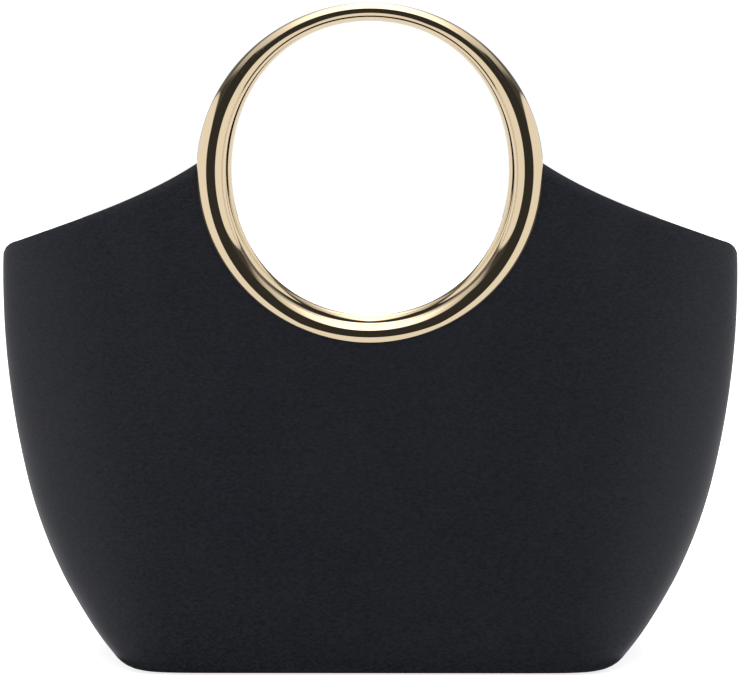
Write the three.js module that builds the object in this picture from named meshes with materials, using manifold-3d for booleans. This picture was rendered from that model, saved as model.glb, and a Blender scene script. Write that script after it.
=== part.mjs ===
// A small structured handbag: a front and a back panel of leather, a leather base and two metal ring handles.
// Millimetres, +Z up. The bag stands on z = 0 about x = y = 0 and its front faces -Y.
import * as THREE from "three";
import { mergeVertices } from "three/addons/utils/BufferGeometryUtils.js";
import Module from "manifold-3d";

const wasm = await Module();
wasm.setup();

const { degToRad, lerp, smoothstep } = THREE.MathUtils;

// Leather
const WALL = 2; // thickness of the leather
const GAP = 0.3; // clearance between neighbouring pieces
const BASE_TURN = 3.5; // outer radius where a panel turns under the base
const HEM = 8; // how far a panel reaches in under the base
const BASE_THICKNESS = 2.5;

// The plan of the outer face at each height is |x / halfWidth|^front + |y / halfDepth|^ends = 1.
// High powers make the square base and low ones the narrow mouth.
const SECTIONS = [
  { height: 0, halfWidth: 86.6, halfDepth: 45.6, front: 10, ends: 5.8 },
  { height: 14, halfWidth: 99.4, halfDepth: 45.2, front: 6.4, ends: 3.8 },
  { height: 30, halfWidth: 110.2, halfDepth: 43.6, front: 4.8, ends: 2.9 },
  { height: 50, halfWidth: 118.8, halfDepth: 40.2, front: 4.1, ends: 2.4 },
  { height: 75, halfWidth: 125.2, halfDepth: 35.1, front: 3.8, ends: 2.1 },
  { height: 105, halfWidth: 129.5, halfDepth: 29, front: 3.6, ends: 1.9 },
  { height: 130, halfWidth: 130.7, halfDepth: 23.9, front: 3.5, ends: 1.75 },
  { height: 150, halfWidth: 130.3, halfDepth: 19.8, front: 3.5, ends: 1.6 },
  { height: 175, halfWidth: 129, halfDepth: 14.8, front: 3.5, ends: 1.5 },
];

// Top edge of a panel: a shoulder that rises from each side seam and sweeps up to the ring
const SHOULDER_START = 144; // height at the side seam, before the corner is rounded
const SHOULDER_SLOPE = 0.333;
const SHOULDER_SWEEP = { rise: 6, power: 4 }; // extra rise by the time it meets the ring
const SHOULDER_CORNER = 5; // radius of the rounded corner
const SHOULDER_END = 59.5; // half of the stretch that the ring takes up

// Ring handles, each a round ring in a plane of its own that leans in at the top
const RING_OUTER = 60.3; // outer radius
const RING_HEIGHT = 170.4; // height of the centre
const RING_OFFSET = 14.7; // distance of the centre from the middle plane of the bag
const RING_WIDTH = { top: 5.6, side: 10, bottom: 6.8 }; // width of the section in the plane of the ring
const RING_DEPTH = { top: 6, side: 8.4 }; // depth of the section across that plane
const RING_TAPER = 3; // power that keeps the wide stretch close to the sides

// The slot in the rim that holds the edge of the leather
const SLOT_DEPTH = 2.2;
const SLOT_END = degToRad(3.4); // how far the slot runs above the level of the centre
const CUTOUT_HEIGHT = 8 * WALL; // of the disc that is cut out of a panel
const FLAT_RADIUS = { full: 63, none: 96 }; // the leather is flat round the ring out to full, then curves

// Facets
const COLUMNS = 40;
const TURN_ROWS = 3;
const ROWS = 21;
const CROWDING = 0.45; // crowds the columns towards the side seams
const RING_STEPS = 60;
const RING_SIDES = 12;
const PLAN_STEPS = 240;
const BASE_STRIDE = 10; // the base keeps one in so many points of the plan
const MERGE_DISTANCE = 1e-4;

// The top of a column is found by steps towards the top edge
const TOP_ROUNDS = 20;
const TOP_STEP = 0.7;

// The lean brings the two rings to a small gap at the top
const RING_LEAN = Math.asin(
  (RING_OFFSET - RING_DEPTH.top / 2 - GAP / 2) / (RING_OUTER - RING_WIDTH.top / 2),
);

const leather = new THREE.MeshStandardMaterial({ color: 0x232427, roughness: 0.55, metalness: 0 });
const gold = new THREE.MeshStandardMaterial({ color: 0xe2cfa8, roughness: 0.12, metalness: 1 });

const sections = new THREE.CubicInterpolant(
  SECTIONS.map((row) => row.height),
  SECTIONS.flatMap((row) => [row.halfWidth, row.halfDepth, row.front, row.ends]),
  4,
);

// The front half of the plan at a height, drawn in by an inset, as points from the left seam to the right one
function planCurve(height, inset) {
  const [halfWidth, halfDepth, front, ends] = sections.evaluate(height);
  const points = [];
  for (let step = 0; step <= PLAN_STEPS; step++) {
    const angle = (step / PLAN_STEPS - 0.5) * Math.PI;
    const across = Math.sign(angle) * Math.abs(Math.sin(angle)) ** (2 / front);
    const forward = Math.max(Math.cos(angle), 0) ** (2 / ends);
    const x = (halfWidth - inset) * across;
    const y = -lerp(GAP / 2, halfDepth - inset, forward);
    points.push(new THREE.Vector2(x, y));
  }
  return points;
}

// The point at a fraction of the curve's length
function alongCurve(points, fraction) {
  const lengths = [0];
  for (let i = 1; i < points.length; i++) {
    lengths.push(lengths[i - 1] + points[i].distanceTo(points[i - 1]));
  }
  const wanted = fraction * lengths.at(-1);
  const next = Math.max(1, lengths.findIndex((length) => length >= wanted));
  const share = (wanted - lengths[next - 1]) / (lengths[next] - lengths[next - 1]);
  return points[next - 1].clone().lerp(points[next], share);
}

// Height of a panel's top edge at a distance x from the middle
function shoulderHeight(x, halfWidth) {
  const run = halfWidth - Math.max(Math.abs(x), SHOULDER_END);
  const share = run / (halfWidth - SHOULDER_END);
  const rise = SHOULDER_SLOPE * run + SHOULDER_SWEEP.rise * share ** SHOULDER_SWEEP.power;
  const left = Math.max(SHOULDER_CORNER - run, 0);
  const drop = SHOULDER_CORNER - Math.sqrt(Math.max(SHOULDER_CORNER ** 2 - left ** 2, 0));
  return SHOULDER_START + rise - drop;
}

// Height at which a column of the wall meets the top edge
function columnTop(fraction) {
  let height = SHOULDER_START;
  for (let round = 0; round < TOP_ROUNDS; round++) {
    const [halfWidth] = sections.evaluate(height);
    const { x } = alongCurve(planCurve(height, 0), fraction);
    height = lerp(height, shoulderHeight(x, halfWidth), TOP_STEP);
  }
  return height;
}

// The y of the plane that the front ring and the leather around it lie in
function ringPlane(height) {
  return -RING_OFFSET - (RING_HEIGHT - height) * Math.tan(RING_LEAN);
}

// A point of the front wall, depth below its outer face
function wallPoint(fraction, top, row, depth) {
  const angle = (Math.min(Math.max(row - 1, 0) / TURN_ROWS, 1) * Math.PI) / 2;
  const turn = BASE_TURN - depth;
  const rise = Math.max(row - 1 - TURN_ROWS, 0) / (ROWS - 1 - TURN_ROWS);
  const height = lerp(depth + turn * (1 - Math.cos(angle)), top, rise);
  const inset = row === 0 ? HEM : depth + turn * (1 - Math.sin(angle));
  const { x, y } = alongCurve(planCurve(height, inset), fraction);
  const fromRing = Math.hypot(x, (height - RING_HEIGHT) / Math.cos(RING_LEAN));
  const curved = smoothstep(fromRing, FLAT_RADIUS.full, FLAT_RADIUS.none);
  const flat = ringPlane(height) + depth - WALL / 2;
  return new THREE.Vector3(x, lerp(flat, y, curved), height);
}

// A fine box bent into the wall: its width goes round the bag, its height up it and its depth through it
function panelGeometry() {
  const geometry = new THREE.BoxGeometry(1, 1, 1, COLUMNS, ROWS, 1);
  const position = geometry.getAttribute("position");
  const fractions = [];
  const tops = [];
  for (let column = 0; column <= COLUMNS; column++) {
    const share = column / COLUMNS;
    fractions.push(share - (CROWDING * Math.sin(2 * Math.PI * share)) / (2 * Math.PI));
    tops.push(columnTop(fractions[column]));
  }
  for (let i = 0; i < position.count; i++) {
    const column = Math.round((position.getX(i) + 0.5) * COLUMNS);
    const row = Math.round((position.getY(i) + 0.5) * ROWS);
    const depth = position.getZ(i) > 0 ? 0 : WALL;
    const point = wallPoint(fractions[column], tops[column], row, depth);
    position.setXYZ(i, point.x, point.y, point.z);
  }
  return geometry;
}

// Width or depth of the ring's section at an angle round it
function ringSize(size, angle) {
  const bottom = size.bottom ?? size.top;
  const slim = lerp(bottom, size.top, (1 + Math.sin(angle)) / 2);
  return lerp(slim, size.side, Math.abs(Math.cos(angle)) ** RING_TAPER);
}

// A torus drawn out to the tapered oval section, flat in its own XY plane
function ringGeometry() {
  const geometry = new THREE.TorusGeometry(RING_OUTER, 1, RING_SIDES, RING_STEPS);
  const position = geometry.getAttribute("position");
  const vertex = new THREE.Vector3();
  for (let i = 0; i < position.count; i++) {
    vertex.fromBufferAttribute(position, i);
    const angle = Math.atan2(vertex.y, vertex.x);
    const outward = Math.hypot(vertex.x, vertex.y) - RING_OUTER;
    const halfWidth = ringSize(RING_WIDTH, angle) / 2;
    const radius = RING_OUTER + halfWidth * (outward - 1);
    const z = (vertex.z * ringSize(RING_DEPTH, angle)) / 2;
    position.setXYZ(i, radius * Math.cos(angle), radius * Math.sin(angle), z);
  }
  return geometry;
}

// The slot to cut round the lower half of a ring's rim
function slotGeometry() {
  const width = WALL + 2 * GAP;
  const shape = new THREE.Shape();
  shape.absarc(0, 0, RING_OUTER + SLOT_DEPTH, Math.PI - SLOT_END, 2 * Math.PI + SLOT_END, false);
  shape.absarc(0, 0, RING_OUTER - SLOT_DEPTH, 2 * Math.PI + SLOT_END, Math.PI - SLOT_END, true);
  const slot = new THREE.ExtrudeGeometry(shape, {
    depth: width,
    bevelEnabled: false,
    curveSegments: RING_STEPS / 2,
  });
  return slot.translate(0, 0, -width / 2);
}

// Stands a ring up in the front panel: its axis turns to the front and its top leans back
function placeAsRing(object) {
  object.rotation.x = Math.PI / 2 - RING_LEAN;
  object.position.set(0, -RING_OFFSET, RING_HEIGHT);
  object.updateMatrix();
  return object;
}

// The disc to cut out of a panel for its ring, in the place of the ring
function cutoutGeometry() {
  const radius = RING_OUTER - SLOT_DEPTH + GAP;
  const disc = new THREE.CylinderGeometry(radius, radius, CUTOUT_HEIGHT, RING_STEPS);
  disc.rotateX(Math.PI / 2);
  return disc.applyMatrix4(placeAsRing(new THREE.Object3D()).matrix);
}

// The flat base, a gap inside the hems of the two panels
function baseGeometry() {
  const front = planCurve(0, HEM + GAP).filter((_, i) => i % BASE_STRIDE === 0);
  const back = front.map((point) => point.clone().negate());
  const shape = new THREE.Shape([...front, ...back]);
  return new THREE.ExtrudeGeometry(shape, { depth: BASE_THICKNESS, bevelEnabled: false });
}

// A closed body ready for cutting
function solid(geometry) {
  geometry.deleteAttribute("normal");
  geometry.deleteAttribute("uv");
  const merged = mergeVertices(geometry, MERGE_DISTANCE);
  const vertProperties = new Float32Array(merged.getAttribute("position").array);
  const triVerts = new Uint32Array(merged.index.array);
  return new wasm.Manifold(new wasm.Mesh({ numProp: 3, vertProperties, triVerts }));
}

// One body with another cut away from it
function cut(body, tool) {
  const { vertProperties, triVerts } = solid(body).subtract(solid(tool)).getMesh();
  const geometry = new THREE.BufferGeometry();
  geometry.setAttribute("position", new THREE.BufferAttribute(vertProperties, 3));
  geometry.setIndex(new THREE.BufferAttribute(triVerts, 1));
  geometry.computeVertexNormals();
  return geometry;
}

function named(name, geometry, material) {
  const mesh = new THREE.Mesh(geometry, material);
  mesh.name = name;
  return mesh;
}

const panel = cut(panelGeometry(), cutoutGeometry());
const ring = cut(ringGeometry(), slotGeometry());

const handbag = new THREE.Group();
handbag.add(named("base_panel", baseGeometry(), leather));

// The back is the front turned half round
for (const [side, turn] of [["front", 0], ["back", Math.PI]]) {
  const half = new THREE.Group();
  half.rotation.z = turn;
  half.add(named(`${side}_panel`, panel, leather));
  half.add(placeAsRing(named(`${side}_ring`, ring, gold)));
  handbag.add(half);
}

export default handbag;
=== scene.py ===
"""Looks of a small structured leather handbag with two ring handles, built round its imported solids.

Metres, +Z up. The bag stands on z = 0 about x = y = 0, and its front faces -Y.
"""

import math

import bpy
import numpy as np
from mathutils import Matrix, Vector


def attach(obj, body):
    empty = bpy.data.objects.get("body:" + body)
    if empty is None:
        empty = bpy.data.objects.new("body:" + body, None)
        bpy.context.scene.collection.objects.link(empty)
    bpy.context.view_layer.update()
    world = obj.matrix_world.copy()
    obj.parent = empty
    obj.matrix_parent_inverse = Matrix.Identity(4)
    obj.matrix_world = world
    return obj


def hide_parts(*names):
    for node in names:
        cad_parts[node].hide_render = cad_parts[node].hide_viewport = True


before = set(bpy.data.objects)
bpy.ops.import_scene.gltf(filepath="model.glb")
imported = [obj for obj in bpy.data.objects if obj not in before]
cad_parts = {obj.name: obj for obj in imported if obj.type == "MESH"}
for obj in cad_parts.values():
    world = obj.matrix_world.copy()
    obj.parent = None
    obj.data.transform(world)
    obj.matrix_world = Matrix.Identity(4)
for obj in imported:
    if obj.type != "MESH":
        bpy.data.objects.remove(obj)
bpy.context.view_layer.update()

# Leather walls, whose sewn joints are drawn closed: SEAM_GAP is too small to see
WALL = 0.002
GAP = 0.0003
SEAM_GAP = 0.000001
BASE_TURN = 0.0035
HEM = 0.008
BASE_THICKNESS = 0.0025
BASE_ROUND = 0.0006
SEAM_ROUND = 0.0009
SEAM_CLEAR = 0.006

# The plan of the outer face at each height is |x / half_width|^front + |y / half_depth|^ends = 1
SECTIONS = [
    dict(height=0.000, half_width=0.0851, half_depth=0.0456, front=13.0, ends=5.8),
    dict(height=0.014, half_width=0.0987, half_depth=0.0452, front=6.4, ends=3.8),
    dict(height=0.030, half_width=0.1095, half_depth=0.0436, front=4.8, ends=2.9),
    dict(height=0.050, half_width=0.1185, half_depth=0.0402, front=4.1, ends=2.4),
    dict(height=0.075, half_width=0.1251, half_depth=0.0351, front=3.8, ends=2.1),
    dict(height=0.105, half_width=0.1295, half_depth=0.0290, front=3.6, ends=1.9),
    dict(height=0.130, half_width=0.1307, half_depth=0.0239, front=3.5, ends=1.75),
    dict(height=0.150, half_width=0.1303, half_depth=0.0198, front=3.5, ends=1.6),
    dict(height=0.175, half_width=0.1290, half_depth=0.0148, front=3.5, ends=1.5),
]

MIDDLE_SECTION = SECTIONS[4]

# Top edge of a panel
SHOULDER_START = 0.14495
SHOULDER_SLOPE = 0.333
SHOULDER_RISE = 0.006
SHOULDER_POWER = 4
SHOULDER_CORNER = 0.0030
SHOULDER_END = 0.0595
EDGE_ROLL = 0.001
EDGE_ROLL_HEIGHT = 0.0055
EDGE_ROLL_POWER = 3
EDGE_ROLL_RUN = 0.001

# Ring handles
RING_OUTER = 0.0603
RING_HEIGHT = 0.1704
RING_OFFSET = 0.0147
RING_WIDTH = dict(top=0.0056, side=0.0100, bottom=0.0070)
RING_DEPTH = dict(top=0.0060, side=0.0084, bottom=0.0060)
RING_TAPER = 3
SLOT_DEPTH = 0.0022
SLOT_END = math.radians(3.4)
SLOT_FADE = math.radians(0.6)
FLANK_START = math.radians(31)
FLANK_END = math.radians(47)
FLANK_POWER = 1.5
CUTOUT_RADIUS = RING_OUTER - SLOT_DEPTH + GAP
FLAT_FULL = 0.063
FLAT_NONE = 0.096
RING_REACH = RING_OFFSET - RING_DEPTH["top"] / 2 - GAP / 2
RING_LEAN = math.asin(RING_REACH / (RING_OUTER - RING_WIDTH["top"] / 2))

# Angles above which an edge stays sharp
SHARP_PANEL = math.radians(50)
SHARP_BASE = math.radians(60)
SHARP_RING = math.radians(40)

# Mesh fineness, with columns crowded at the ring's rim
PLAN_STEPS = 600
TABLE_STEP = 0.001
COLUMNS = 280
RIM_CROWDING = 6.0
RIM_SPREAD = 0.02
SEAM_STEPS = 6
TURN_STEPS = 6
WALL_STEPS = 100
ROLL_STEPS = 18
EDGE_STEPS = 8
RING_STEPS = 360
RING_SIDES = 60
SLOT_SIDES = 6

# Finishes: linear colours from dark to light, a range of roughness, scales per metre and relief in metres
LEATHER = dict(
    dark=(0.0036, 0.0042, 0.0066),
    light=(0.0108, 0.0116, 0.0162),
    roughness=(0.45, 0.53),
    specular=0.33,
    specular_tint=(0.88, 0.89, 1.0, 1.0),
    sheen=0.05,
    sheen_roughness=0.3,
    cloud_scale=28,
    grain_scale=(700, 700, 1400),
    grain_bump=0.35,
    pebble_scale=1700,
    pebble_bump=0.3,
    relief=0.00008,
)
FLESH_SIDE = dict(
    dark=(0.024, 0.023, 0.023),
    light=(0.036, 0.034, 0.033),
    roughness=(0.8, 0.95),
    sheen=0.15,
    cloud_scale=40,
    nap_scale=2600,
    nap_bump=0.5,
    relief=0.0002,
)
GOLD = dict(
    dark=(0.78, 0.635, 0.43),
    light=(0.82, 0.67, 0.46),
    roughness=(0.03, 0.06),
    cloud_scale=18,
    cloud_bump=0.05,
    line_scale=(400, 3000, 400),
    relief=0.0004,
)
FLOOR = dict(
    dark=(0.9, 0.9, 0.9),
    light=(0.92, 0.92, 0.92),
    roughness=0.9,
    cloud_scale=3,
    glow=0.78,
)
# Grey of the sheet under the bag that only reflections see: painted shade, standing in for the floor's shadow
# there
PAINTED_SHADE_COLOUR = (0.15, 0.15, 0.15, 1.0)
WHITE = (1.0, 1.0, 1.0, 1.0)

# Middle range of a procedural texture's values
TEXTURE_LOW = 0.3
TEXTURE_HIGH = 0.7

# Camera of the photograph
CAMERA_PLACE = Vector((0.0035, -0.7294, 0.158))
CAMERA_AIM = Vector((0.0, 0.0, 0.1115))
CAMERA_LENS = 99.7
CAMERA_SENSOR = 36.0

# Studio: side panels up to a roll about a forward axis, light from overhead by the roll about a steeper
# axis, a dark gap between the two, a dark opening for the camera and a smaller, paler one behind the bag
PANEL_TILT = math.radians(10)
PANEL_TOP = math.radians(38.5)
PANEL_LIGHT = 0.96
OVERHEAD_TILT = math.radians(25)
OVERHEAD_LIGHT = [
    dict(roll=38, light=0.06),
    dict(roll=41, light=0.12),
    dict(roll=45, light=0.45),
    dict(roll=50, light=0.68),
    dict(roll=56, light=0.80),
    dict(roll=62, light=1.05),
    dict(roll=68, light=1.50),
    dict(roll=75, light=1.90),
    dict(roll=85, light=2.10),
]
FRONT_OPENING = dict(turn=math.radians(33), low=math.radians(-39))
BACK_OPENING = dict(turn=math.radians(26), low=math.radians(4))
OPENING_LIFT = 0.075
OPENING_SLOPE = 1.0
OPENING_SOFT = math.radians(1.5)
OPENING_LIGHT = 0.035
BACK_LIGHT = 0.15

# Floor, and a sheet of painted shade under the bag, which stands in for the floor's shadow in reflections
FLOOR_SIZE = 60.0
FLOOR_DROP = 0.0002
PAINTED_SHADE_REACH = dict(x=0.006, y=0.008)


# Shape of the leather wall


def along_heights(column, heights):
    """A column of SECTIONS as a smooth curve through its rows, read at the given heights."""
    knots = np.array([row["height"] for row in SECTIONS])
    values = np.array([row[column] for row in SECTIONS])
    secants = np.diff(values) / np.diff(knots)
    slopes = np.concatenate((secants[:1], (secants[1:] + secants[:-1]) / 2, secants[-1:]))
    left = np.clip(np.searchsorted(knots, heights) - 1, 0, len(knots) - 2)
    span = knots[left + 1] - knots[left]
    t = (heights - knots[left]) / span
    from_left = values[left] * (1 + 2 * t) + slopes[left] * span * t
    from_right = values[left + 1] * (3 - 2 * t) - slopes[left + 1] * span * (1 - t)
    return from_left * (1 - t) ** 2 + from_right * t**2


def plan_table(heights, inset, fractions):
    """Points of the front half of the plan: a row for each height, a column for each share of its length."""
    half_width, half_depth, front, ends = (
        along_heights(name, heights)[:, None] for name in ("half_width", "half_depth", "front", "ends")
    )
    angle = np.linspace(-math.pi / 2, math.pi / 2, PLAN_STEPS + 1)
    across = np.sign(angle) * np.abs(np.sin(angle)) ** (2 / front)
    forward = np.maximum(np.cos(angle), 0) ** (2 / ends)
    x = (half_width - inset) * across
    y = -SEAM_GAP / 2 - (half_depth - inset - SEAM_GAP / 2) * forward
    steps = np.hypot(np.diff(x, axis=1), np.diff(y, axis=1))
    lengths = np.concatenate((np.zeros((len(heights), 1)), np.cumsum(steps, axis=1)), axis=1)
    shares = lengths / lengths[:, -1:]
    table_x = np.array([np.interp(fractions, share, row) for share, row in zip(shares, x)])
    table_y = np.array([np.interp(fractions, share, row) for share, row in zip(shares, y)])
    return table_x, table_y


def smoothstep(value, low, high):
    t = np.clip((value - low) / (high - low), 0, 1)
    return t * t * (3 - 2 * t)


def from_ring(x, z):
    """Distance from the ring's centre in the ring's own plane."""
    return np.hypot(x, (z - RING_HEIGHT) / math.cos(RING_LEAN))


def shoulder_height(x):
    """Height of the top edge beside the ring."""
    half_width = along_heights("half_width", np.array([SHOULDER_START]))[0]
    run = np.maximum(half_width - np.maximum(np.abs(x), SHOULDER_END), 0)
    share = run / (half_width - SHOULDER_END)
    rise = SHOULDER_SLOPE * run + SHOULDER_RISE * share**SHOULDER_POWER
    into_corner = np.maximum(SHOULDER_CORNER - run, 0)
    drop = SHOULDER_CORNER - np.sqrt(np.maximum(SHOULDER_CORNER**2 - into_corner**2, 0))
    return SHOULDER_START + rise - drop


class Wall:
    """The front wall of the bag, read by column, height and depth below its outer face."""

    def __init__(self, fractions):
        self.heights = np.arange(0, SECTIONS[-1]["height"] + TABLE_STEP, TABLE_STEP)
        self.outer = plan_table(self.heights, 0, fractions)
        self.inset = plan_table(self.heights, HEM, fractions)

    def plan(self, column, height, inset):
        """x and y of a column at a height, drawn in by an inset."""
        place = []
        for outer, deep in zip(self.outer, self.inset):
            near = np.interp(height, self.heights, outer[:, column])
            far = np.interp(height, self.heights, deep[:, column])
            place.append(near + (far - near) * inset / HEM)
        return place

    def point(self, column, height, depth, inset=None):
        """Points of the wall, flattened into the plane of the ring close to it."""
        x, y = self.plan(column, height, depth if inset is None else inset)
        curved = smoothstep(from_ring(x, height), FLAT_FULL, FLAT_NONE)
        plane = -RING_OFFSET - (RING_HEIGHT - height) * math.tan(RING_LEAN)
        flat = plane + depth - WALL / 2
        return np.stack((x, flat + (y - flat) * curved, height), axis=-1)

    def top(self, column):
        """Height at which a column meets the ring or the shoulder."""
        x = self.outer[0][:, column]
        below_shoulder = shoulder_height(x) - self.heights
        outside_ring = from_ring(x, self.heights) - CUTOUT_RADIUS
        room = np.minimum(below_shoulder, outside_ring)
        past = np.argmax(room < 0)
        share = room[past - 1] / (room[past - 1] - room[past])
        return self.heights[past - 1] + share * TABLE_STEP


def seam_columns():
    """Shares of the plan's length for the columns, closer at the ring, and the rounding at the seam edges."""
    length = 2 * (MIDDLE_SECTION["half_width"] + MIDDLE_SECTION["half_depth"])
    turn = np.linspace(0, math.pi / 2, SEAM_STEPS)
    ends = SEAM_ROUND * (1 - np.cos(turn)) / length
    share = np.linspace(SEAM_ROUND / length, 1 - SEAM_ROUND / length, PLAN_STEPS)
    from_rim = np.abs(plan_table(np.array([RING_HEIGHT]), 0, share)[0][0]) - RING_OUTER
    crowding = np.cumsum(1 + RIM_CROWDING * np.exp(-((from_rim / length / RIM_SPREAD) ** 2)))
    middle = np.interp(np.linspace(crowding[0], crowding[-1], COLUMNS), crowding, share)[1:-1]
    drawn_in = SEAM_ROUND * (1 - np.sin(turn))
    fractions = np.concatenate((ends, middle, 1 - ends[::-1]))
    insets = np.concatenate((drawn_in, np.zeros(len(middle)), drawn_in[::-1]))
    return fractions, insets


def wall_profile(wall, column, drawn_in):
    """One column of a panel as a closed loop, from the hem up the outer face and down the inner one."""
    top = wall.top(column) - WALL / 2
    roll_start = top - EDGE_ROLL_HEIGHT
    rise = np.linspace(BASE_TURN, roll_start, WALL_STEPS - ROLL_STEPS, endpoint=False)
    rise = np.concatenate((rise, np.linspace(roll_start, top, ROLL_STEPS)))
    turn = np.linspace(0, math.pi / 2, TURN_STEPS)[:-1]
    faces = []
    for depth in (0, WALL):
        radius = BASE_TURN - depth
        heights = np.concatenate(([depth], depth + radius * (1 - np.cos(turn)), rise))
        insets = depth + radius * (1 - np.sin(turn))
        insets = np.concatenate(([HEM], insets, np.full(len(rise), depth)))
        if depth == 0:
            insets = np.maximum(insets, drawn_in)
        faces.append(wall.point(column, heights, depth, insets))
    outer, inner = faces
    beside_ring = smoothstep(abs(outer[-1, 0]), SHOULDER_END, SHOULDER_END + EDGE_ROLL_RUN)
    clear_of_seam = smoothstep(-outer[-1, 1], 0, SEAM_CLEAR)
    share = np.clip((outer[:, 2] - roll_start) / EDGE_ROLL_HEIGHT, 0, 1) ** EDGE_ROLL_POWER
    rolled = share * beside_ring * clear_of_seam * EDGE_ROLL / WALL
    outer = outer + (inner - outer) * rolled[:, None]
    over = np.linspace(0, math.pi, EDGE_STEPS + 1)[1:-1]
    middle = (outer[-1] + inner[-1]) / 2
    half = (outer[-1] - inner[-1]) / 2
    slope = outer[-1] - outer[-2]
    upward = slope / np.linalg.norm(slope) * WALL / 2
    edge = middle + np.cos(over)[:, None] * half + np.sin(over)[:, None] * upward
    return np.concatenate((outer, edge, inner[::-1]))


def grid_faces(columns, rows):
    """Quads of a grid whose columns are closed loops, with the open sides left for the ends."""
    index = np.arange(columns * rows).reshape(columns, rows)
    after = np.roll(index, -1, axis=1)
    quads = np.stack((index[:-1], index[1:], after[1:], after[:-1]), axis=-1)
    return quads.reshape(-1, 4).tolist()


def end_faces(start, rows, flip):
    """Strip of quads that closes the end of a panel between its outer and its inner face."""
    half = TURN_STEPS + WALL_STEPS
    strip = []
    for row in range(half - 1):
        quad = [start + row, start + row + 1, start + rows - 2 - row, start + rows - 1 - row]
        strip.append(quad[::-1] if flip else quad)
    cap = [start + row for row in range(half - 1, rows - half + 1)]
    strip.append(cap[::-1] if flip else cap)
    return strip


def mesh_object(name, points, faces, sharp_angle):
    mesh = bpy.data.meshes.new(name)
    mesh.from_pydata(np.asarray(points).tolist(), [], faces)
    mesh.validate()
    mesh.polygons.foreach_set("use_smooth", np.ones(len(mesh.polygons), bool))
    mesh.set_sharp_from_angle(angle=sharp_angle)
    made = bpy.data.objects.new(name, mesh)
    bpy.context.scene.collection.objects.link(made)
    return made


def turned(points, side):
    """The points as they are for the front, or turned half round the bag's upright axis for the back."""
    if side == "front":
        return points
    return points * np.array([-1, -1, 1])


def panel(side):
    """One leather panel: its wall, rolled top edge, turned hem and rounded seam edges."""
    fractions, insets = seam_columns()
    wall = Wall(fractions)
    loops = [wall_profile(wall, column, insets[column]) for column in range(len(fractions))]
    rows = len(loops[0])
    faces = grid_faces(len(loops), rows)
    inner_start = TURN_STEPS + WALL_STEPS + EDGE_STEPS - 1
    finish = [1 if face[0] % rows >= inner_start and face[3] % rows > 0 else 0 for face in faces]
    ends = end_faces(0, rows, False) + end_faces((len(loops) - 1) * rows, rows, True)
    points = turned(np.concatenate(loops), side)
    made = mesh_object(f"{side}_leather", points, faces + ends, SHARP_PANEL)
    made.data.polygons.foreach_set("material_index", np.array(finish + [0] * len(ends), np.int32))
    return made


# Shape of the base


def base():
    """The leather base: a flat plate with rounded edges, inside the hems of the panels."""
    fractions = np.linspace(0, 1, COLUMNS, endpoint=False)
    x, y = plan_table(np.zeros(1), HEM + SEAM_GAP, fractions)
    outline = np.concatenate((np.stack((x[0], y[0]), -1), -np.stack((x[0], y[0]), -1)))
    turn = np.linspace(0, math.pi / 2, TURN_STEPS)
    inset = BASE_ROUND * (1 - np.sin(turn))
    rise = BASE_ROUND * (1 - np.cos(turn))
    insets = np.concatenate((inset, inset[::-1]))
    heights = np.concatenate((rise, BASE_THICKNESS - rise[::-1]))
    reach = np.linalg.norm(outline, axis=1, keepdims=True)
    loops = [
        np.concatenate((outline * (1 - inset / reach), np.full((len(outline), 1), height)), axis=1)
        for inset, height in zip(insets, heights)
    ]
    count = len(outline)
    index = np.arange(len(loops) * count).reshape(len(loops), count)
    after = np.roll(index, -1, axis=1)
    quads = np.stack((index[:-1], after[:-1], after[1:], index[1:]), axis=-1).reshape(-1, 4).tolist()
    caps = [index[0][::-1].tolist(), index[-1].tolist()]
    return mesh_object("base_leather", np.concatenate(loops), quads + caps, SHARP_BASE)


# Shape of the rings


def ring_size(size, angle):
    """Width or depth of the ring's section at an angle round it."""
    slim = size["bottom"] + (size["top"] - size["bottom"]) * (1 + np.sin(angle)) / 2
    return slim + (size["side"] - slim) * np.abs(np.cos(angle)) ** RING_TAPER


def ring_oval(turn, angle):
    """Outward and forward places on a section: an oval, with straighter flanks low on the ring."""
    half_width = ring_size(RING_WIDTH, angle) / 2
    half_depth = ring_size(RING_DEPTH, angle) / 2
    outward = half_width * np.cos(turn)
    forward = half_depth * np.sin(turn)
    start = math.atan2(half_depth, half_width * math.tan(FLANK_START))
    run = half_width * (1 - math.cos(start))
    share = np.clip(1 - (half_width - outward) / run, 0, 1)
    slope = FLANK_START + (FLANK_END - FLANK_START) * share
    fall = run / (FLANK_END - FLANK_START) * np.log(math.cos(FLANK_START) / np.cos(slope))
    flank = half_depth * math.sin(start) - fall
    low = max(-math.sin(angle), 0) ** FLANK_POWER
    lift = np.where(share > 0, flank - np.abs(forward), 0) * low
    return RING_OUTER - half_width + outward, forward + np.sign(forward) * lift


def ring_section(angle):
    """One section of the ring, outward and forward from its centre, with the slot in the rim."""
    half_slot = WALL / 2 + GAP / 2
    quarter = np.linspace(0, math.pi / 2, RING_SIDES)[1:]
    corner = np.interp(half_slot, ring_oval(quarter, angle)[1], quarter)
    outward, forward = ring_oval(np.linspace(corner, 2 * math.pi - corner, RING_SIDES), angle)
    slot_forward = np.linspace(-half_slot, half_slot, SLOT_SIDES)
    above = abs(math.remainder(angle - math.pi / 2, 2 * math.pi))
    share = float(smoothstep(above, math.pi / 2 - SLOT_END - SLOT_FADE, math.pi / 2 - SLOT_END))
    bulge = (RING_OUTER - outward[0]) * (1 - (slot_forward / half_slot) ** 2)
    slot_outward = (outward[0] + bulge) * (1 - share) + (RING_OUTER - SLOT_DEPTH) * share
    return np.concatenate((outward, slot_outward)), np.concatenate((forward, slot_forward))


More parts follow.
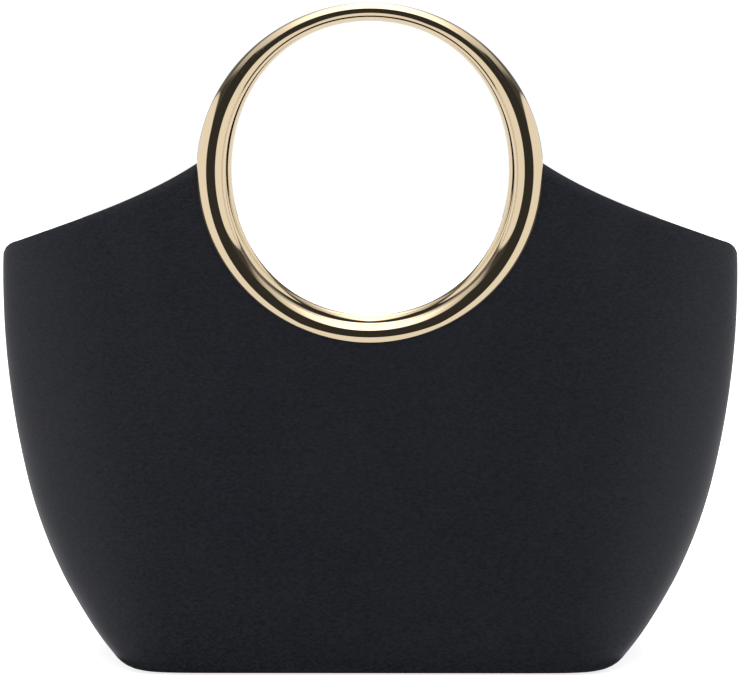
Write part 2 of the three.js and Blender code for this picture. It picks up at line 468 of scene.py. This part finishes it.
def ring(side):
    """One polished ring, standing in its panel and leaning in at the top."""
    rows = []
    lean_up = np.array([0, math.sin(RING_LEAN), math.cos(RING_LEAN)])
    lean_front = np.array([0, -math.cos(RING_LEAN), math.sin(RING_LEAN)])
    across = np.array([1, 0, 0])
    centre = np.array([0, -RING_OFFSET, RING_HEIGHT])
    for angle in np.linspace(0, 2 * math.pi, RING_STEPS, endpoint=False):
        outward, forward = ring_section(angle)
        direction = across * math.cos(angle) + lean_up * math.sin(angle)
        rows.append(centre + outward[:, None] * direction + forward[:, None] * lean_front)
    index = np.arange(RING_STEPS * len(rows[0])).reshape(RING_STEPS, -1)
    right = np.roll(index, -1, axis=0)
    after = np.roll(index, -1, axis=1)
    quads = np.stack((index, right, np.roll(right, -1, axis=1), after), axis=-1)
    points = turned(np.concatenate(rows), side)
    return mesh_object(f"{side}_ring_metal", points, quads.reshape(-1, 4).tolist(), SHARP_RING)


# Materials


def new_material(name):
    material = bpy.data.materials.new(name)
    material.use_nodes = True
    return material, material.node_tree, material.node_tree.nodes["Principled BSDF"]


def add(tree, kind, inputs, **settings):
    """A node with its settings, and its inputs set to values or linked to other nodes' outputs."""
    made = tree.nodes.new(kind)
    for name, value in settings.items():
        setattr(made, name, value)
    for name, value in inputs.items():
        if isinstance(value, bpy.types.NodeSocket):
            tree.links.new(value, made.inputs[name])
        else:
            made.inputs[name].default_value = value
    return made


def object_place(tree, scale=(1, 1, 1)):
    place = add(tree, "ShaderNodeTexCoord", {}).outputs["Object"]
    return add(tree, "ShaderNodeMapping", {"Vector": place, "Scale": scale}).outputs["Vector"]


def noise(tree, place, scale, detail):
    inputs = {"Vector": place, "Scale": scale, "Detail": detail}
    return add(tree, "ShaderNodeTexNoise", inputs).outputs[0]


def between(tree, value, limits):
    """A texture's middle range spread between two limits."""
    inputs = {"Value": value, "From Min": TEXTURE_LOW, "From Max": TEXTURE_HIGH}
    inputs.update({"To Min": limits[0], "To Max": limits[1]})
    return add(tree, "ShaderNodeMapRange", inputs).outputs["Result"]


def tones(tree, value, finish):
    """A finish's colours from dark to light over a texture's middle range."""
    ramp = add(tree, "ShaderNodeValToRGB", {"Fac": value})
    dark, light = ramp.color_ramp.elements
    dark.position = TEXTURE_LOW
    dark.color = (*finish["dark"], 1)
    light.position = TEXTURE_HIGH
    light.color = (*finish["light"], 1)
    return ramp.outputs["Color"]


def bump(tree, height, strength, distance, normal=None):
    inputs = {"Height": height, "Strength": strength, "Distance": distance}
    if normal is not None:
        inputs["Normal"] = normal
    return add(tree, "ShaderNodeBump", inputs).outputs["Normal"]


def leather():
    """Smooth black leather: a fine pebble, a level grain of about a millimetre and a cool satin sheen."""
    material, tree, shader = new_material("black_leather")
    place = object_place(tree)
    cells = {"Vector": place, "Scale": LEATHER["pebble_scale"]}
    pebble = add(tree, "ShaderNodeTexVoronoi", cells, feature="SMOOTH_F1").outputs["Distance"]
    grain = noise(tree, object_place(tree, LEATHER["grain_scale"]), 1, detail=2)
    cloud = noise(tree, place, LEATHER["cloud_scale"], detail=3)
    tree.links.new(tones(tree, grain, LEATHER), shader.inputs["Base Color"])
    tree.links.new(between(tree, cloud, LEATHER["roughness"]), shader.inputs["Roughness"])
    shader.inputs["Specular IOR Level"].default_value = LEATHER["specular"]
    shader.inputs["Specular Tint"].default_value = LEATHER["specular_tint"]
    shader.inputs["Sheen Weight"].default_value = LEATHER["sheen"]
    shader.inputs["Sheen Roughness"].default_value = LEATHER["sheen_roughness"]
    grained = bump(tree, grain, LEATHER["grain_bump"], LEATHER["relief"])
    pebbled = bump(tree, pebble, LEATHER["pebble_bump"], LEATHER["relief"], grained)
    tree.links.new(pebbled, shader.inputs["Normal"])
    return material


def leather_back():
    """The matt flesh side of the leather, inside the bag."""
    material, tree, shader = new_material("leather_flesh_side")
    place = object_place(tree)
    nap = noise(tree, place, FLESH_SIDE["nap_scale"], detail=4)
    cloud = noise(tree, place, FLESH_SIDE["cloud_scale"], detail=3)
    tree.links.new(tones(tree, cloud, FLESH_SIDE), shader.inputs["Base Color"])
    tree.links.new(between(tree, nap, FLESH_SIDE["roughness"]), shader.inputs["Roughness"])
    rough = bump(tree, nap, FLESH_SIDE["nap_bump"], FLESH_SIDE["relief"])
    tree.links.new(rough, shader.inputs["Normal"])
    shader.inputs["Sheen Weight"].default_value = FLESH_SIDE["sheen"]
    return material


def gold():
    """Polished pale gold plating with the faintest waves and polishing lines."""
    material, tree, shader = new_material("polished_gold")
    cloud = noise(tree, object_place(tree), GOLD["cloud_scale"], detail=2)
    lines = noise(tree, object_place(tree, GOLD["line_scale"]), 1, detail=3)
    tree.links.new(tones(tree, cloud, GOLD), shader.inputs["Base Color"])
    tree.links.new(between(tree, lines, GOLD["roughness"]), shader.inputs["Roughness"])
    waves = bump(tree, cloud, GOLD["cloud_bump"], GOLD["relief"])
    tree.links.new(waves, shader.inputs["Normal"])
    shader.inputs["Metallic"].default_value = 1
    return material


def pale_floor():
    material, tree, shader = new_material("pale_floor")
    cloud = noise(tree, object_place(tree), FLOOR["cloud_scale"], detail=2)
    tree.links.new(tones(tree, cloud, FLOOR), shader.inputs["Base Color"])
    shader.inputs["Roughness"].default_value = FLOOR["roughness"]
    shader.inputs["Specular IOR Level"].default_value = 0.0
    shader.inputs["Emission Color"].default_value = WHITE
    shader.inputs["Emission Strength"].default_value = FLOOR["glow"]
    return material


# Painted shade: a grey finish for the sheet that stands in for the floor's shadow in reflections
def painted_shade_finish():
    material, _, shader = new_material("painted_shade_finish")
    shader.inputs["Base Color"].default_value = PAINTED_SHADE_COLOUR
    shader.inputs["Specular IOR Level"].default_value = 0.0
    return material


# Stage, light and camera


def level_sheet(name, half_x, half_y, drop, finish):
    """A flat sheet of the stage, a little below the base."""
    corners = [(-half_x, -half_y), (half_x, -half_y), (half_x, half_y), (-half_x, half_y)]
    made = mesh_object(name, [(x, y, -drop) for x, y in corners], [(0, 1, 2, 3)], math.pi)
    made.data.materials.append(finish)
    return made


def floor():
    """A wide pale floor, and a grey sheet under the bag, which shows in reflections alone as painted shade
    for the floor's shadow there.
    """
    wide = level_sheet("floor", FLOOR_SIZE / 2, FLOOR_SIZE / 2, 2 * FLOOR_DROP, pale_floor())
    wide.visible_glossy = False
    half_x = SECTIONS[0]["half_width"] + PAINTED_SHADE_REACH["x"]
    half_y = SECTIONS[0]["half_depth"] + PAINTED_SHADE_REACH["y"]
    # Painted shade: the sheet is seen in reflections alone, darker than the floor that it hides from them
    painted_shade_sheet = level_sheet("painted_shade_sheet", half_x, half_y, FLOOR_DROP, painted_shade_finish())
    painted_shade_sheet.visible_camera = False
    painted_shade_sheet.visible_diffuse = False
    painted_shade_sheet.visible_shadow = False


def math_node(tree, operation, *values):
    return add(tree, "ShaderNodeMath", dict(enumerate(values)), operation=operation).outputs[0]


def fade(tree, value, place, low, high):
    """A soft step from low to high where a value passes a place."""
    inputs = {"Value": value, "From Min": place - OPENING_SOFT, "From Max": place + OPENING_SOFT}
    inputs.update({"To Min": low, "To Max": high})
    return add(tree, "ShaderNodeMapRange", inputs, interpolation_type="SMOOTHSTEP").outputs["Result"]


def raised(tree, ahead, up, tilt):
    """Height of a direction above the plane of an axis that tilts up ahead."""
    level = math_node(tree, "MULTIPLY", up, math.cos(tilt))
    return math_node(tree, "MULTIPLY_ADD", ahead, -math.sin(tilt), level)


def overhead(tree, roll):
    """The light of OVERHEAD_LIGHT at a roll, by a ramp that runs from -90 to 90 degrees."""
    span = {"Value": roll, "From Min": -math.pi / 2, "From Max": math.pi / 2}
    ramp = add(tree, "ShaderNodeValToRGB", {"Fac": add(tree, "ShaderNodeMapRange", span).outputs["Result"]})
    elements = ramp.color_ramp.elements
    while len(elements) < len(OVERHEAD_LIGHT):
        elements.new(0.5)
    brightest = max(row["light"] for row in OVERHEAD_LIGHT)
    for element, row in zip(elements, OVERHEAD_LIGHT):
        element.position = row["roll"] / 180 + 0.5
        element.color = (row["light"] / brightest,) * 3 + (1,)
    return math_node(tree, "MULTIPLY", ramp.outputs["Color"], brightest)


def round_the_bag(tree, aside, front, ahead, up):
    """Light of the side panels, which fall towards the back, and from overhead."""
    above_panels = math_node(tree, "ARCTAN2", raised(tree, front, up, PANEL_TILT), aside)
    roll = math_node(tree, "ARCTAN2", raised(tree, ahead, up, OVERHEAD_TILT), aside)
    mix = {"Value": fade(tree, above_panels, PANEL_TOP, 0, 1)}
    mix.update({"To Min": PANEL_LIGHT, "To Max": overhead(tree, roll)})
    return add(tree, "ShaderNodeMapRange", mix).outputs["Result"]


def opening(tree, aside, ahead, up, limits):
    """One inside a dark opening of the studio, which lies ahead, and zero outside it."""
    turn = math_node(tree, "ARCTAN2", aside, ahead)
    rise = math_node(tree, "ARCSINE", up)
    across = fade(tree, turn, limits["turn"], 1, 0)
    above = fade(tree, rise, limits["low"], 0, 1)
    over = math_node(tree, "MULTIPLY_ADD", aside, -OPENING_SLOPE, raised(tree, ahead, up, OVERHEAD_TILT))
    below = fade(tree, over, OPENING_LIFT, 1, 0)
    return math_node(tree, "MULTIPLY", across, math_node(tree, "MULTIPLY", above, below))


def studio():
    """The light round the bag by direction, and a white backdrop for the camera."""
    world = bpy.data.worlds.new("studio")
    bpy.context.scene.world = world
    world.use_nodes = True
    tree = world.node_tree
    direction = add(tree, "ShaderNodeTexCoord", {}).outputs["Generated"]
    parts = add(tree, "ShaderNodeSeparateXYZ", {"Vector": direction}).outputs
    aside = math_node(tree, "ABSOLUTE", parts["X"])
    front = math_node(tree, "MULTIPLY", parts["Y"], -1)
    back = parts["Y"]
    ahead = math_node(tree, "ABSOLUTE", parts["Y"])
    up = parts["Z"]
    lit = round_the_bag(tree, aside, front, ahead, up)
    before = opening(tree, aside, front, up, FRONT_OPENING)
    behind = opening(tree, aside, back, up, BACK_OPENING)
    shade = {"Value": math_node(tree, "ADD", before, behind), "To Min": lit, "To Max": OPENING_LIGHT}
    shaded = add(tree, "ShaderNodeMapRange", shade).outputs["Result"]
    strength = math_node(tree, "MAXIMUM", shaded, fade(tree, back, 0, 0, BACK_LIGHT))
    light = tree.nodes["Background"]
    tree.links.new(strength, light.inputs["Strength"])
    light.inputs["Color"].default_value = WHITE
    backdrop = add(tree, "ShaderNodeBackground", {"Color": WHITE})
    seen = add(tree, "ShaderNodeLightPath", {}).outputs["Is Camera Ray"]
    mix = add(tree, "ShaderNodeMixShader", {0: seen, 1: light.outputs[0], 2: backdrop.outputs[0]})
    tree.links.new(mix.outputs[0], tree.nodes["World Output"].inputs["Surface"])


def camera():
    data = bpy.data.cameras.new("camera")
    data.lens = CAMERA_LENS
    data.sensor_width = CAMERA_SENSOR
    made = bpy.data.objects.new("camera", data)
    made.location = CAMERA_PLACE
    made.rotation_euler = (CAMERA_AIM - CAMERA_PLACE).to_track_quat("-Z", "Y").to_euler()
    bpy.context.scene.collection.objects.link(made)
    bpy.context.scene.camera = made


def handbag():
    outside = leather()
    inside = leather_back()
    metal = gold()
    for side in ("front", "back"):
        wall = panel(side)
        wall.data.materials.append(outside)
        wall.data.materials.append(inside)
        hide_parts(f"{side}_panel")
        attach(wall, "root")
        handle = ring(side)
        handle.data.materials.append(metal)
        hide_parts(f"{side}_ring")
        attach(handle, "root")
    foot = base()
    foot.data.materials.append(outside)
    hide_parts("base_panel")
    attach(foot, "root")


bpy.context.scene.view_settings.view_transform = "Standard"
camera()
studio()
floor()
handbag()
